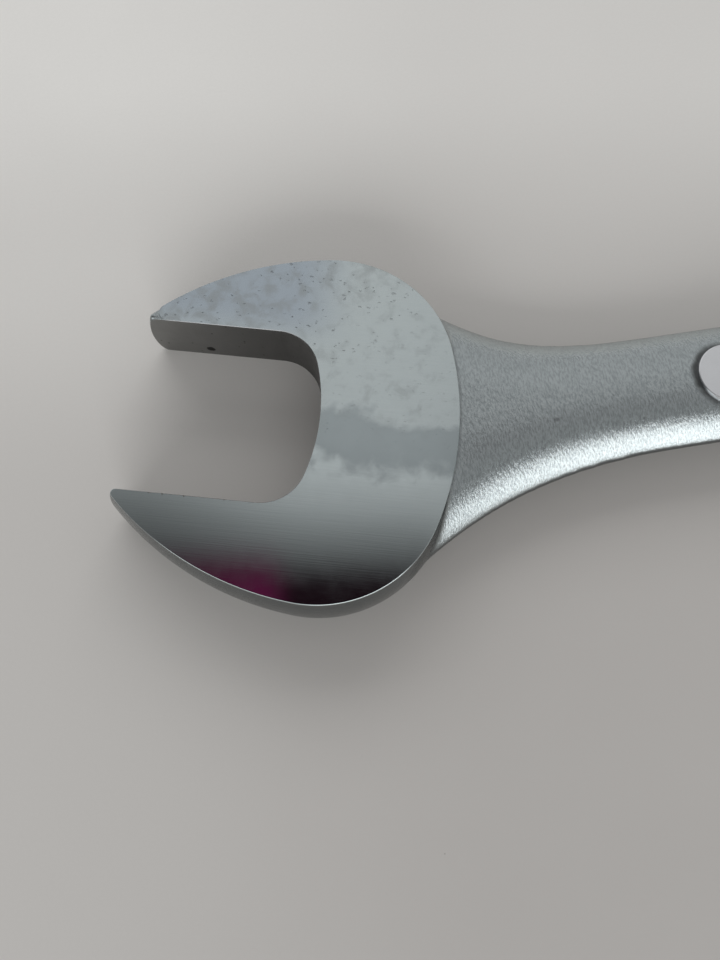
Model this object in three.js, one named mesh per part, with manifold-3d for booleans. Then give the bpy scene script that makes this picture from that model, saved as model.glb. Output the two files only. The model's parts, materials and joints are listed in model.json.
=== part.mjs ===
// Combination wrench, 24 mm: an open jaw at one end and a one-way ratcheting ring at the other.
// Millimetres. +X runs along the shank from the open jaw to the ring, +Y is across the shank,
// and +Z is up, square to the broad faces. The origin is the centre of the wrench's bounding box.
import * as THREE from "three";
import { mergeVertices } from "three/addons/utils/BufferGeometryUtils.js";
import Module from "manifold-3d";

const wasm = await Module();
wasm.setup();

// ---- Driving dimensions: whole wrench ----
const ACROSS_FLATS = 24;
const JAW_TO_RING = 256; // from the jaw's centre to the ring's centre, along the shank

// ---- Open jaw: laid out in its own frame, u into the head and v across the slot ----
const JAW = {
  thickness: 10,
  tilt: THREE.MathUtils.degToRad(15), // slot axis against the shank axis
  offset: 1.7, // head centre's distance from the shank axis, towards +Y
  slotShift: 0.5, // slot axis against the head's own centreline
  draft: 0.6, // the forged sides swell by this much at mid-thickness
  partingHalf: 0.25, // half-height of the straight band at mid-thickness
  hornRadius: 41, // outer edge of each horn
  hornCentreU: 5,
  width: 48, // across the two horns at their widest
  cheekRadius: 16.4, // outer edge behind each horn
  cheekTurn: THREE.MathUtils.degToRad(5.7), // where horn arc meets cheek arc, from the widest point
  neckArcU: 20.1, // edge of the ground face on the shank side, at the slot axis
  tipRadius: 0.5,
  throatRadius: 26.6, // gently curved bottom of the slot
  throatU: 1.8,
  cornerRadius: 6, // where the slot's flats run into its bottom
  segments: 9, // straight pieces along each of its arcs
};

// ---- Neck: each side edge leaves its cheek at an angle from +X, with a slope and a curve handle ----
const NECK = {
  step: 0.15, // the neck meets the head this far below the ground face
  fairPull: 17, // handle of both side edges where they reach the shank
  upper: { leave: THREE.MathUtils.degToRad(34), slope: THREE.MathUtils.degToRad(39), handle: 12.5 },
  lower: { leave: THREE.MathUtils.degToRad(56), slope: THREE.MathUtils.degToRad(35), handle: 14 },
};

// ---- Shank and its two raised panels ----
const SHANK = {
  halfThickness: 3.9,
  halfWidth: 8.2,
  ringEndHalfWidth: 7.7,
  edgeHalf: 0.5, // half-height of the upright band along each edge
  edgeSlope: 1.2, // steepness of the cambered faces where they meet that band
  firstX: 9, // the loft starts inside the jaw head
  jawFairX: 50, // the neck has faded into the shank here
  ringFairX: 196, // and starts to flare towards the ring here
  curvedStep: 2.5, // between cross-sections where the sides curve
  straightStep: 12,
  across: 16, // points over each cambered face
};
const PANEL = { startX: 52.7, endX: 194, width: 8, faceZ: 4.35, edgeBreak: 0.15 };

// ---- Flare from the shank to the ring ----
const FLARE = {
  reach: 14, // it ends this far past the nose's start, inside the ring end
  halfWidth: 16,
  startPull: 20, // handles of its side curve
  endPull: [8, 6],
  shoulder: 0.6, // it meets the ring end this far below the ring's face
  riseLength: 26,
};

// ---- Ring end ----
const RING = {
  outerRadius: 22.5,
  thickness: 13.6,
  noseHalfWidth: 9.4, // where the thick face ends on the shank side
  noseRadius: 32,
  boreRadius: 17.8, // runs round the gear's teeth
  lipRadius: 16.2, // carries the gear's lower journal
  lipHeight: 1.8,
  grooveRadius: 18.8, // holds the retaining ring
  mouthBreak: 0.5, // broken edge at the top of the gear's bore
  edgeBreak: 1,
  flankTurn: 0.95, // the flanks leave the round head this many radians from the shank's side
  flankPull: 5,
};

// ---- Ratchet mechanism ----
const GEAR = {
  teeth: 72,
  tipRadius: 17.45,
  rootRadius: 16.5,
  crestStart: 0.28, // shares of a tooth's pitch where its flat crest starts and ends
  crestEnd: 0.42,
  journalRadius: 15.85,
  recess: 0.15, // of its faces below the ring's
  lead: 0.9, // depth of the bore's tapered mouths
};
const PAWL = { teeth: 7, halfWidth: 5.4, backRadius: 23.2, halfHeight: 3.1, travel: 1.1, relief: 0.25 };
const SPRING = {
  coilRadius: 1.25,
  wireRadius: 0.25,
  turns: 7,
  holeRadius: 1.8,
  holeEndRadius: 29.8,
  seatDepth: 2.2, // blind hole in the pawl's back
};
const CLIP = { innerRadius: 16.75, outerRadius: 18.5, thickness: 1.1, depth: 1.35, gapAngle: 0.42 };
const GAP = 0.3; // clearance between neighbouring pieces

// ---- Derived places ----
const RING_HALF = RING.thickness / 2;
const LIP_TOP_Z = RING.lipHeight - RING_HALF;
const TOOTH_BOTTOM_Z = LIP_TOP_Z + GAP;
const CLIP_TOP_Z = RING_HALF - CLIP.depth;
const CLIP_BOTTOM_Z = CLIP_TOP_Z - CLIP.thickness;
const TOOTH_TOP_Z = CLIP_BOTTOM_Z - GAP;
const NOSE_X = JAW_TO_RING - RING.noseRadius;
const TOOTH_PITCH = (2 * Math.PI) / GEAR.teeth;

const FULL_TURN = 2 * Math.PI;

// ---- Solids: three.js geometry in and out of manifold-3d ----

function solidFrom(geometry) {
  const bare = geometry.clone();
  bare.deleteAttribute("normal");
  bare.deleteAttribute("uv");
  const merged = mergeVertices(bare, 1e-4);
  return new wasm.Manifold(
    new wasm.Mesh({
      numProp: 3,
      vertProperties: merged.attributes.position.array,
      triVerts: new Uint32Array(merged.index.array),
    }),
  );
}

function geometryFrom(solid) {
  const mesh = solid.getMesh();
  const geometry = new THREE.BufferGeometry();
  geometry.setAttribute("position", new THREE.BufferAttribute(mesh.vertProperties, 3));
  geometry.setIndex(new THREE.BufferAttribute(mesh.triVerts, 1));
  geometry.computeVertexNormals();
  return geometry;
}

// A plate of the given outline between two heights, its edges chamfered inwards.
function plate(outline, bottom, top, chamfer = 0, segments = 12) {
  const geometry = new THREE.ExtrudeGeometry(outline, {
    depth: top - bottom - 2 * chamfer,
    bevelEnabled: chamfer > 0,
    bevelThickness: chamfer,
    bevelSize: chamfer,
    bevelOffset: -chamfer,
    bevelSegments: 1,
    curveSegments: segments,
  });
  return geometry.translate(0, 0, bottom + chamfer);
}

// A round bar standing along Z between two heights.
function bar(radius, bottom, top, segments = 72) {
  const geometry = new THREE.CylinderGeometry(radius, radius, top - bottom, segments);
  return geometry.rotateX(Math.PI / 2).translate(0, 0, (bottom + top) / 2);
}

// A tapered bar along Z, for chamfering a hole's mouth.
function taperedBar(bottomRadius, topRadius, bottom, top, segments = 72) {
  const geometry = new THREE.CylinderGeometry(topRadius, bottomRadius, top - bottom, segments);
  return geometry.rotateX(Math.PI / 2).translate(0, 0, (bottom + top) / 2);
}

function outlineFrom(points) {
  return new THREE.Shape(points.map(([x, y]) => new THREE.Vector2(x, y)));
}

function atAngle(radius, angle) {
  return [radius * Math.cos(angle), radius * Math.sin(angle)];
}

function angleTo(centre, point) {
  return Math.atan2(point.y - centre.y, point.x - centre.x);
}

// ---- Open jaw ----

// Arc centres on the +v side of the slot axis; the -v side mirrors them.
function jawArcs() {
  const flat = ACROSS_FLATS / 2;
  const horn = new THREE.Vector2(JAW.hornCentreU, JAW.width / 2 - JAW.hornRadius);
  const cheek = new THREE.Vector2(
    horn.x - (JAW.hornRadius - JAW.cheekRadius) * Math.sin(JAW.cheekTurn),
    horn.y + (JAW.hornRadius - JAW.cheekRadius) * Math.cos(JAW.cheekTurn),
  );
  // The neck arc crosses the slot axis square and is tangent to both cheek arcs.
  const neckToCheek = JAW.neckArcU - cheek.x;
  const neckRadius =
    (neckToCheek ** 2 + cheek.y ** 2 - JAW.cheekRadius ** 2) / (2 * (neckToCheek - JAW.cheekRadius));
  const neck = new THREE.Vector2(JAW.neckArcU - neckRadius, 0);
  const throat = new THREE.Vector2(JAW.throatU - JAW.throatRadius, 0);
  const cornerAcross = flat - JAW.cornerRadius;
  const corner = new THREE.Vector2(
    throat.x + Math.sqrt((JAW.throatRadius - JAW.cornerRadius) ** 2 - cornerAcross ** 2),
    cornerAcross,
  );
  return { horn, cheek, neck, neckRadius, throat, corner };
}

// Centre of a horn's rounded tip, tangent to that horn's flat and to its outer arc.
function tipCentre(horn, side) {
  const across = ACROSS_FLATS / 2 + side * JAW.slotShift + JAW.tipRadius;
  const reach = Math.sqrt((JAW.hornRadius - JAW.tipRadius) ** 2 - (across - horn.y) ** 2);
  return new THREE.Vector2(horn.x - reach, across);
}

// The ground face of the jaw head before its slot is cut, in the jaw's frame.
function headOutline() {
  const { horn, cheek, neck, neckRadius } = jawArcs();
  const upperTip = tipCentre(horn, 1);
  const lowerTip = tipCentre(horn, -1);
  const upperStart = angleTo(horn, upperTip);
  const lowerStart = angleTo(horn, lowerTip);
  const hornEnd = Math.PI / 2 + JAW.cheekTurn;
  const cheekEnd = angleTo(neck, cheek);
  const right = Math.PI / 2;
  const shape = new THREE.Shape();
  // Clockwise from the tip of the +v horn, round the back of the head to the tip of the other.
  shape.absarc(upperTip.x, upperTip.y, JAW.tipRadius, 3 * right, upperStart, true);
  shape.absarc(horn.x, horn.y, JAW.hornRadius, upperStart, hornEnd, true);
  shape.absarc(cheek.x, cheek.y, JAW.cheekRadius, hornEnd, cheekEnd, true);
  shape.absarc(neck.x, neck.y, neckRadius, cheekEnd, -cheekEnd, true);
  shape.absarc(cheek.x, -cheek.y, JAW.cheekRadius, -cheekEnd, -hornEnd, true);
  shape.absarc(horn.x, -horn.y, JAW.hornRadius, -hornEnd, -lowerStart, true);
  shape.absarc(lowerTip.x, -lowerTip.y, JAW.tipRadius, -lowerStart, -3 * right, true);
  shape.closePath();
  return shape;
}

// The slot, open towards -u: two flats that run through large corners into a curved bottom.
function slotOutline() {
  const { throat, corner } = jawArcs();
  const flat = ACROSS_FLATS / 2;
  const mouth = -JAW.hornRadius;
  const cornerEnd = angleTo(throat, corner);
  const shape = new THREE.Shape();
  shape.moveTo(mouth, -flat);
  shape.lineTo(corner.x, -flat);
  shape.absarc(corner.x, -corner.y, JAW.cornerRadius, -Math.PI / 2, -cornerEnd, false);
  shape.absarc(throat.x, throat.y, JAW.throatRadius, -cornerEnd, cornerEnd, false);
  shape.absarc(corner.x, corner.y, JAW.cornerRadius, cornerEnd, Math.PI / 2, false);
  shape.lineTo(mouth, flat);
  shape.closePath();
  return shape;
}

function placeJaw(geometry) {
  return geometry.rotateZ(-JAW.tilt).translate(0, JAW.offset, 0);
}

function jawHead() {
  const half = JAW.thickness / 2;
  const swelling = half - JAW.partingHalf;
  const head = new THREE.ExtrudeGeometry(headOutline(), {
    depth: JAW.thickness - 2 * swelling,
    bevelThickness: swelling,
    bevelSize: JAW.draft,
    bevelSegments: 1,
    curveSegments: JAW.segments,
  });
  return placeJaw(head.translate(0, 0, swelling - half));
}

function jawSlot() {
  const cut = plate(slotOutline(), -JAW.thickness, JAW.thickness, 0, JAW.segments);
  return placeJaw(cut.translate(0, JAW.slotShift, 0));
}

// ---- Neck, shank and flare: one loft of cambered cross-sections ----

// The side edge, upper at +Y or lower at -Y: leaves the cheek, fades into the shank, flares to the ring.
function sideCurve(name) {
  const side = name === "upper" ? 1 : -1;
  const { cheek } = jawArcs();
  const cheekInPart = new THREE.Vector2(cheek.x, side * cheek.y);
  cheekInPart.rotateAround(new THREE.Vector2(), -JAW.tilt).y += JAW.offset;
  const reach = JAW.cheekRadius + JAW.draft / 2;
  const { leave, slope, handle } = NECK[name];
  const start = new THREE.Vector2(
    cheekInPart.x + reach * Math.cos(leave),
    cheekInPart.y + side * reach * Math.sin(leave),
  );
  const direction = new THREE.Vector2(Math.cos(slope), -side * Math.sin(slope));
  const curve = new THREE.CurvePath();
  const fairIn = new THREE.Vector2(SHANK.jawFairX, side * SHANK.halfWidth);
  const fairOut = new THREE.Vector2(SHANK.ringFairX, side * SHANK.ringEndHalfWidth);
  const flareEnd = new THREE.Vector2(NOSE_X + FLARE.reach, side * FLARE.halfWidth);
  curve.add(
    new THREE.CubicBezierCurve(
      start,
      start.clone().addScaledVector(direction, handle),
      fairIn.clone().add(new THREE.Vector2(-NECK.fairPull, 0)),
      fairIn,
    ),
  );
  curve.add(new THREE.LineCurve(fairIn, fairOut));
  curve.add(
    new THREE.CubicBezierCurve(
      fairOut,
      fairOut.clone().add(new THREE.Vector2(FLARE.startPull, 0)),
      flareEnd.clone().sub(new THREE.Vector2(FLARE.endPull[0], side * FLARE.endPull[1])),
      flareEnd,
    ),
  );
  return curve.curves;
}

// How far the side edge stands from the shank axis at a station along X.
function sideAt(curves, x) {
  const piece = curves.find((c) => x <= c.getPoint(1).x) ?? curves[curves.length - 1];
  let low = 0;
  let high = 1;
  for (let step = 0; step < 40; step += 1) {
    const middle = (low + high) / 2;
    if (piece.getPoint(middle).x < x) low = middle;
    else high = middle;
  }
  return piece.getPoint(low).y;
}

function smooth(x, from, to) {
  return THREE.MathUtils.smoothstep(x, from, to);
}

// Half-thickness of the loft: just under the jaw's face at the neck, and under the ring's face.
function halfThicknessAt(x) {
  const jawFade = 1 - smooth(x, 14, SHANK.jawFairX);
  const jawRise = JAW.thickness / 2 - NECK.step - SHANK.halfThickness;
  const ringFade = smooth(x, NOSE_X - FLARE.riseLength, NOSE_X + 4);
  const ringRise = RING_HALF - FLARE.shoulder - SHANK.halfThickness;
  return SHANK.halfThickness + jawRise * jawFade + ringRise * ringFade;
}

function shankLoft() {
  const upper = sideCurve("upper");
  const lower = sideCurve("lower");
  const lastX = JAW_TO_RING - RING.boreRadius - 3;
  const around = 2 * SHANK.across;
  const stations = [];
  for (let x = SHANK.firstX; x < lastX; ) {
    stations.push(x);
    const straight = x > SHANK.jawFairX && x < SHANK.ringFairX - SHANK.straightStep;
    x += straight ? SHANK.straightStep : SHANK.curvedStep;
  }
  stations.push(lastX);
  const positions = [];
  for (const x of stations) {
    const top = sideAt(upper, Math.max(x, upper[0].getPoint(0).x));
    const bottom = sideAt(lower, Math.max(x, lower[0].getPoint(0).x));
    const halfWidth = (top - bottom) / 2;
    const camber = halfThicknessAt(x) - SHANK.edgeHalf;
    const power = (SHANK.edgeSlope * halfWidth) / camber;
    for (const face of [1, -1]) {
      for (let i = 0; i < SHANK.across; i += 1) {
        const across = face * Math.cos((Math.PI * i) / (SHANK.across - 1));
        const height = SHANK.edgeHalf + camber * (1 - Math.abs(across) ** power);
        positions.push(x, (top + bottom) / 2 + across * halfWidth, face * height);
      }
    }
  }
  const faces = [];
  const endCentres = [0, stations.length - 1].map((station) => {
    const at = station * around;
    positions.push(stations[station], (positions[at * 3 + 1] + positions[(at + around / 2) * 3 + 1]) / 2, 0);
    return positions.length / 3 - 1;
  });
  for (let i = 0; i < around; i += 1) {
    const next = (i + 1) % around;
    for (let s = 0; s < stations.length - 1; s += 1) {
      const a = s * around;
      const b = a + around;
      faces.push(a + i, a + next, b + i, a + next, b + next, b + i);
    }
    const last = (stations.length - 1) * around;
    faces.push(endCentres[0], next, i, endCentres[1], last + i, last + next);
  }
  const geometry = new THREE.BufferGeometry();
  geometry.setAttribute("position", new THREE.Float32BufferAttribute(positions, 3));
  geometry.setIndex(faces);
  return geometry;
}

// The raised panel, a round-ended bar right through the shank that shows on both faces.
function panelBar() {
  const radius = PANEL.width / 2;
  const shape = new THREE.Shape();
  shape.absarc(PANEL.startX + radius, 0, radius, Math.PI / 2, (3 * Math.PI) / 2, false);
  shape.absarc(PANEL.endX - radius, 0, radius, -Math.PI / 2, Math.PI / 2, false);
  shape.closePath();
  return plate(shape, -PANEL.faceZ, PANEL.faceZ, PANEL.edgeBreak, 10);
}

// ---- Ring end of the forging ----

// Thick face of the ring end: a round head with a nose towards the shank, which covers the pawl.
function ringOutline() {
  const noseEnd = Math.asin(RING.noseHalfWidth / RING.noseRadius);
  const leave = Math.PI - RING.flankTurn;
  const headPoint = new THREE.Vector2(...atAngle(RING.outerRadius, leave));
  const nosePoint = new THREE.Vector2(...atAngle(RING.noseRadius, Math.PI - noseEnd));
  const tangent = new THREE.Vector2(-Math.sin(leave), Math.cos(leave)).multiplyScalar(RING.flankPull);
  const pull = headPoint.clone().add(tangent);
  const shape = new THREE.Shape();
  shape.absarc(0, 0, RING.outerRadius, -leave, leave, false);
  shape.quadraticCurveTo(pull.x, pull.y, nosePoint.x, nosePoint.y);
  shape.absarc(0, 0, RING.noseRadius, Math.PI - noseEnd, Math.PI + noseEnd, false);
  shape.quadraticCurveTo(pull.x, -pull.y, headPoint.x, -headPoint.y);
  shape.closePath();
  return shape;
}

function ringHead() {
  return plate(ringOutline(), -RING_HALF, RING_HALF, RING.edgeBreak, 16);
}

// Everything that is machined out of the ring end, in the ring's own frame.
function ringCuts() {
  const around = 96;
  const bore = solidFrom(bar(RING.boreRadius, LIP_TOP_Z, RING_HALF + 1, around));
  const lipBore = solidFrom(bar(RING.lipRadius, -RING_HALF - 1, RING_HALF, around));
  const groove = solidFrom(bar(RING.grooveRadius, CLIP_BOTTOM_Z - GAP, CLIP_TOP_Z + GAP, around));
  // The cone crosses the bore's radius at the depth of the broken edge and the face one break further out.
  const widths = [RING.boreRadius - RING.mouthBreak, RING.boreRadius + 1.5 * RING.mouthBreak];
  const heights = [RING_HALF - 2 * RING.mouthBreak, RING_HALF + RING.mouthBreak / 2];
  const boreMouth = solidFrom(taperedBar(...widths, ...heights, around));
  return bore.add(lipBore).add(groove).add(boreMouth).add(pawlPocket()).add(springHole());
}

function pawlPocket() {
  const back = -(PAWL.backRadius + PAWL.travel + GAP);
  const half = PAWL.halfWidth + GAP;
  const outline = outlineFrom([
    [back, -half],
    [-RING.lipRadius, -half],
    [-RING.lipRadius, half],
    [back, half],
  ]);
  return solidFrom(plate(outline, -PAWL.halfHeight - GAP, PAWL.halfHeight + GAP));
}

function springHole() {
  const length = SPRING.holeEndRadius - PAWL.backRadius;
  const hole = new THREE.CylinderGeometry(SPRING.holeRadius, SPRING.holeRadius, length, 24);
  return solidFrom(hole.rotateZ(Math.PI / 2).translate(-SPRING.holeEndRadius + length / 2, 0, 0));
}

function wrenchBody() {
  const forging = solidFrom(shankLoft())
    .add(solidFrom(panelBar()))
    .add(solidFrom(jawHead()))
    .add(solidFrom(ringHead().translate(JAW_TO_RING, 0, 0)));
  const cuts = ringCuts().translate([JAW_TO_RING, 0, 0]).add(solidFrom(jawSlot()));
  return geometryFrom(forging.subtract(cuts));
}

// ---- Ratchet gear ----

// One ratchet tooth per step: a steep face that the pawl locks on, and a long sloping back.
function toothRing(clearance, firstAngle, count) {
  const points = [];
  for (let i = 0; i < count; i += 1) {
    const start = firstAngle + i * TOOTH_PITCH;
    points.push(atAngle(GEAR.rootRadius + clearance, start));
    points.push(atAngle(GEAR.tipRadius + clearance, start + GEAR.crestStart * TOOTH_PITCH));
    points.push(atAngle(GEAR.tipRadius + clearance, start + GEAR.crestEnd * TOOTH_PITCH));
  }
  return points;
}

// Twelve-point bore: two hexagons, one turned by 30 degrees.
function twelvePointOutline(acrossFlats) {
  const outer = acrossFlats / 2 / Math.cos(Math.PI / 6);
  const inner = acrossFlats / 2 / Math.cos(Math.PI / 12);
  const points = [];
  for (let i = 0; i < 24; i += 1) points.push(atAngle(i % 2 ? inner : outer, (i * Math.PI) / 12));
  return outlineFrom(points);
}

function ratchetGear() {
  const faceZ = RING_HALF - GEAR.recess;
  const teeth = outlineFrom(toothRing(0, 0, GEAR.teeth));
  // Each tapered mouth runs from inside the bore's corners to just past them at the face.
  const corner = ACROSS_FLATS / 2 / Math.cos(Math.PI / 6);
  const [inner, outer] = [corner - 1, corner + 0.5];
  const [deep, beyond] = [faceZ - GEAR.lead, faceZ + 0.6];
  const blank = solidFrom(bar(GEAR.journalRadius, -faceZ, faceZ)).add(
    solidFrom(plate(teeth, TOOTH_BOTTOM_Z, TOOTH_TOP_Z)),
  );
  const bore = solidFrom(plate(twelvePointOutline(ACROSS_FLATS), -RING_HALF, RING_HALF))
    .add(solidFrom(taperedBar(inner, outer, deep, beyond)))
    .add(solidFrom(taperedBar(outer, inner, -beyond, -deep)));
  return geometryFrom(blank.subtract(bore));
}

// ---- Pawl ----

// A sliding block whose front carries the gear's own tooth form, a clearance further out.
function pawl() {
  const firstTooth = Math.round(Math.PI / TOOTH_PITCH - PAWL.teeth / 2);
  const front = toothRing(GAP, firstTooth * TOOTH_PITCH, PAWL.teeth);
  const reliefRadius = GEAR.tipRadius + GAP + PAWL.relief;
  const reliefX = -Math.sqrt(reliefRadius ** 2 - PAWL.halfWidth ** 2);
  const outline = outlineFrom([
    ...front,
    [reliefX, -PAWL.halfWidth],
    [-PAWL.backRadius, -PAWL.halfWidth],
    [-PAWL.backRadius, PAWL.halfWidth],
    [reliefX, PAWL.halfWidth],
  ]);
  const block = solidFrom(plate(outline, -PAWL.halfHeight, PAWL.halfHeight));
  const length = SPRING.seatDepth + 1;
  const seat = new THREE.CylinderGeometry(SPRING.holeRadius, SPRING.holeRadius, length, 24);
  seat.rotateZ(Math.PI / 2).translate(SPRING.seatDepth - PAWL.backRadius - length / 2, 0, 0);
  return geometryFrom(block.subtract(solidFrom(seat)));
}

// ---- Pawl spring ----

class CoilCurve extends THREE.Curve {
  constructor(radius, length, turns) {
    super();
    Object.assign(this, { radius, length, turns });
  }

  getPoint(t, target = new THREE.Vector3()) {
    const angle = t * this.turns * FULL_TURN;
    return target.set(t * this.length, this.radius * Math.cos(angle), this.radius * Math.sin(angle));
  }
}

function pawlSpring() {
  const start = -SPRING.holeEndRadius + GAP + SPRING.wireRadius;
  const end = -PAWL.backRadius + SPRING.seatDepth - GAP - SPRING.wireRadius;
  const wire = new THREE.Shape();
  wire.absarc(0, 0, SPRING.wireRadius, 0, FULL_TURN, false);
  const coil = new THREE.ExtrudeGeometry(wire, {
    steps: SPRING.turns * 14,
    extrudePath: new CoilCurve(SPRING.coilRadius, end - start, SPRING.turns),
    curveSegments: 3,
  });
  return coil.translate(start, 0, 0);
}

// ---- Retaining ring ----

function retainingRing() {
  const half = CLIP.gapAngle / 2;
  const from = Math.PI / 2 + half;
  const to = Math.PI / 2 - half + FULL_TURN;
  const shape = new THREE.Shape();
  shape.absarc(0, 0, CLIP.outerRadius, from, to, false);
  shape.absarc(0, 0, CLIP.innerRadius, to, from, true);
  shape.closePath();
  return plate(shape, CLIP_BOTTOM_Z, CLIP_TOP_Z, 0, 30);
}

// ---- Assembly ----

const chrome = new THREE.MeshStandardMaterial({ color: 0x9aa1a3, metalness: 1, roughness: 0.3 });
const toolSteel = new THREE.MeshStandardMaterial({ color: 0x6e7072, metalness: 1, roughness: 0.4 });
const springSteel = new THREE.MeshStandardMaterial({ color: 0x4a4c50, metalness: 1, roughness: 0.35 });

function piece(name, geometry, material, x = 0) {
  const mesh = new THREE.Mesh(geometry, material);
  mesh.name = name;
  mesh.position.x = x;
  return mesh;
}

const wrench = new THREE.Group();
wrench.add(
  piece("wrench_body", wrenchBody(), chrome),
  piece("ratchet_gear", ratchetGear(), chrome.clone(), JAW_TO_RING),
  piece("pawl", pawl(), toolSteel, JAW_TO_RING),
  piece("pawl_spring", pawlSpring(), springSteel, JAW_TO_RING),
  piece("retaining_ring", retainingRing(), springSteel.clone(), JAW_TO_RING),
);

// Put the bounding box's centre at the origin.
const centre = new THREE.Box3().setFromObject(wrench).getCenter(new THREE.Vector3());
wrench.position.sub(centre);

export default wrench;
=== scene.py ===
"""Combination wrench with a ratcheting ring: the finished surfaces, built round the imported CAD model.

Shapes are drawn in millimetres in the shank frame: the origin is the foot of the jaw's centre on the
shank axis, X runs to the ring's centre, Y is across and Z is up. They are moved to the CAD frame,
in metres, when a piece is finished.
"""
import json
import math

import bmesh
import bpy
import numpy as np
from mathutils import Matrix, Vector


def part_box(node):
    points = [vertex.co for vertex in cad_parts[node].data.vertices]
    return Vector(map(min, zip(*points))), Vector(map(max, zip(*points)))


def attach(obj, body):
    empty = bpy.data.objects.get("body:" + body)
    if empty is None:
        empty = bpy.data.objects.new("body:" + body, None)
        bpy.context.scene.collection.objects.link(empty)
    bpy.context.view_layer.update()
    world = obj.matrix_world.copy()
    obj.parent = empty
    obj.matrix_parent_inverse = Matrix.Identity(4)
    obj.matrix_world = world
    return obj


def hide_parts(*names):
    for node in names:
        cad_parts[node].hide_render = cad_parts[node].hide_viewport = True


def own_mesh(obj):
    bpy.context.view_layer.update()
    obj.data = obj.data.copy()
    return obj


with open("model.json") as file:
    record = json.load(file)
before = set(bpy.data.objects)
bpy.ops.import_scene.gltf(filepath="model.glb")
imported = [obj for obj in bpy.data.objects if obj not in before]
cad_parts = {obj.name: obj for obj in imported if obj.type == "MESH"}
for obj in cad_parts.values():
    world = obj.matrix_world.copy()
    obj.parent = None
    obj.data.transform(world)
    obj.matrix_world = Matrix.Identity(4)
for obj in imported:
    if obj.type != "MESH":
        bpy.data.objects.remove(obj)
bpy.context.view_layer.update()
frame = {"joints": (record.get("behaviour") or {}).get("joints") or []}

# ---- Sizes, in millimetres: the CAD model's, and a few more for finer edges ----
MM = 0.001
ACROSS_FLATS = 24
JAW_TO_RING = 256
GAP = 0.3  # clearance between neighbouring pieces

JAW_HALF = 5.0
JAW_TILT = math.radians(15)
JAW_OFFSET = 1.7  # the jaw's centre, off the shank's axis
SLOT_SHIFT = 0.5  # the slot, off the head's centreline
SIDE_SWELL = 0.6  # the head's sides bulge this much at mid-height
SWELL_END = 0.5  # the bulges of head and ring end this far from their faces
HORN_RADIUS = 41
HORN_CENTRE_U = 5
JAW_WIDTH = 48
CHEEK_RADIUS = 16.4
CHEEK_TURN = math.radians(5.7)
NECK_ARC_U = 20.1
TIP_RADIUS = 0.5
THROAT_RADIUS = 26.6
THROAT_U = 1.8
SLOT_CORNER_RADIUS = 6

SHANK_HALF_THICKNESS = 3.9
SHANK_HALF_WIDTH = 8.2
SHANK_RING_END_HALF_WIDTH = 7.7
SHANK_EDGE_HALF = 0.5  # half-height of the upright band along each edge
SHANK_EDGE_SLOPE = 1.2  # steepness of the cambered faces where they meet that band
SHANK_FIRST_X = 9  # the shank's sections start inside the head
SHANK_LAST_WALL = 2  # and end this far outside the ring's bore
NECK_STEP = 0.15  # the neck meets the head this far below its face
NECK_START_X = 14
JAW_FAIR_X = 50  # the shank's sides run straight from here
RING_FAIR_X = 196  # to here
# Each side of the neck: where it leaves the cheek's arc, its slope there, and how far it keeps it.
NECK_UPPER = (math.radians(34), math.radians(39), 12.5)
NECK_LOWER = (math.radians(56), math.radians(35), 14)
NECK_END_PULL = 17  # how far it keeps the shank's direction
FLARE_REACH = 14  # from the nose into the ring
FLARE_HALF_WIDTH = 16
FLARE_START_PULL = 20
FLARE_END_PULL = (8, 6)
FLARE_SHOULDER = 0.6  # the flare meets the ring this far below its face
FLARE_RISE = 26  # before the nose, where the shank starts to thicken
FLARE_TOP_REACH = 4  # past the nose, where the flare has its full height

PANEL_START_X = 52.7
PANEL_END_X = 194
PANEL_HALF_WIDTH = 4
PANEL_FACE_Z = 4.35
PANEL_EDGE = 0.14
PANEL_DRAFT = 0.25  # wider on each side at its foot
PANEL_FOOT = 1.2  # below its face, inside the shank

RING_RADIUS = 22.5
RING_HALF = 6.8
RING_BAND = (1.5, 0.1)  # the bulge's band at mid-height: its half-height, and how far it stands out
RING_INSET = 0.35  # where the bulge ends
NOSE_HALF_WIDTH = 9.4
NOSE_RADIUS = 32
FLANK_TURN = 0.95  # the ring's arc ends this far round from the shank side
FLANK_PULL = 5
RING_EDGE_RADIUS = 1.0
RING_MOUTH = 0.5
POCKET_CORNER_RADIUS = 0.5
BORE_RADIUS = 17.8
LIP_RADIUS = 16.2
LIP_TOP_Z = -5.0
GROOVE_RADIUS = 18.8
CLIP_BOTTOM_Z = 4.35
CLIP_TOP_Z = 5.45
CLIP_INNER_RADIUS = 16.75
CLIP_OUTER_RADIUS = 18.5
CLIP_GAP_ANGLE = 0.42
CLIP_EDGE_RADIUS = 0.18

GEAR_TEETH = 72
GEAR_TIP_RADIUS = 17.45
GEAR_ROOT_RADIUS = 16.5
GEAR_JOURNAL_RADIUS = 15.85
GEAR_FACE_Z = 6.65
GEAR_EDGE = 0.3
GEAR_LEAD = 1.0  # depth of the cone that leads into the bore
GEAR_LEAD_INSET = 0.1  # from the bore's corners, at the gear's face
TOOTH_BREAK = (0.12, 0.05)  # height and depth of the broken edge of the teeth
BORE_POINT_RADIUS = ACROSS_FLATS / 2 / math.cos(math.pi / 6)  # out to its twelve points
BORE_CORNER_RADIUS = 0.22
TOOTH_PITCH = 2 * math.pi / GEAR_TEETH
TOOTH_RISE = 0.28  # share of the pitch taken by the steep face
TOOTH_CREST = 0.42  # share of the pitch where the crest ends
PAWL_TEETH = 7
PAWL_HALF_WIDTH = 5.4
PAWL_HALF_HEIGHT = 3.1
PAWL_BACK_RADIUS = 23.2
PAWL_TRAVEL = 1.1
PAWL_RELIEF = 0.25  # the corners beside its teeth stand back this much more from the gear
PAWL_EDGE = 0.12
PAWL_SEAT_OVERRUN = 1  # of the cut for the spring's seat, behind the pawl
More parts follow.
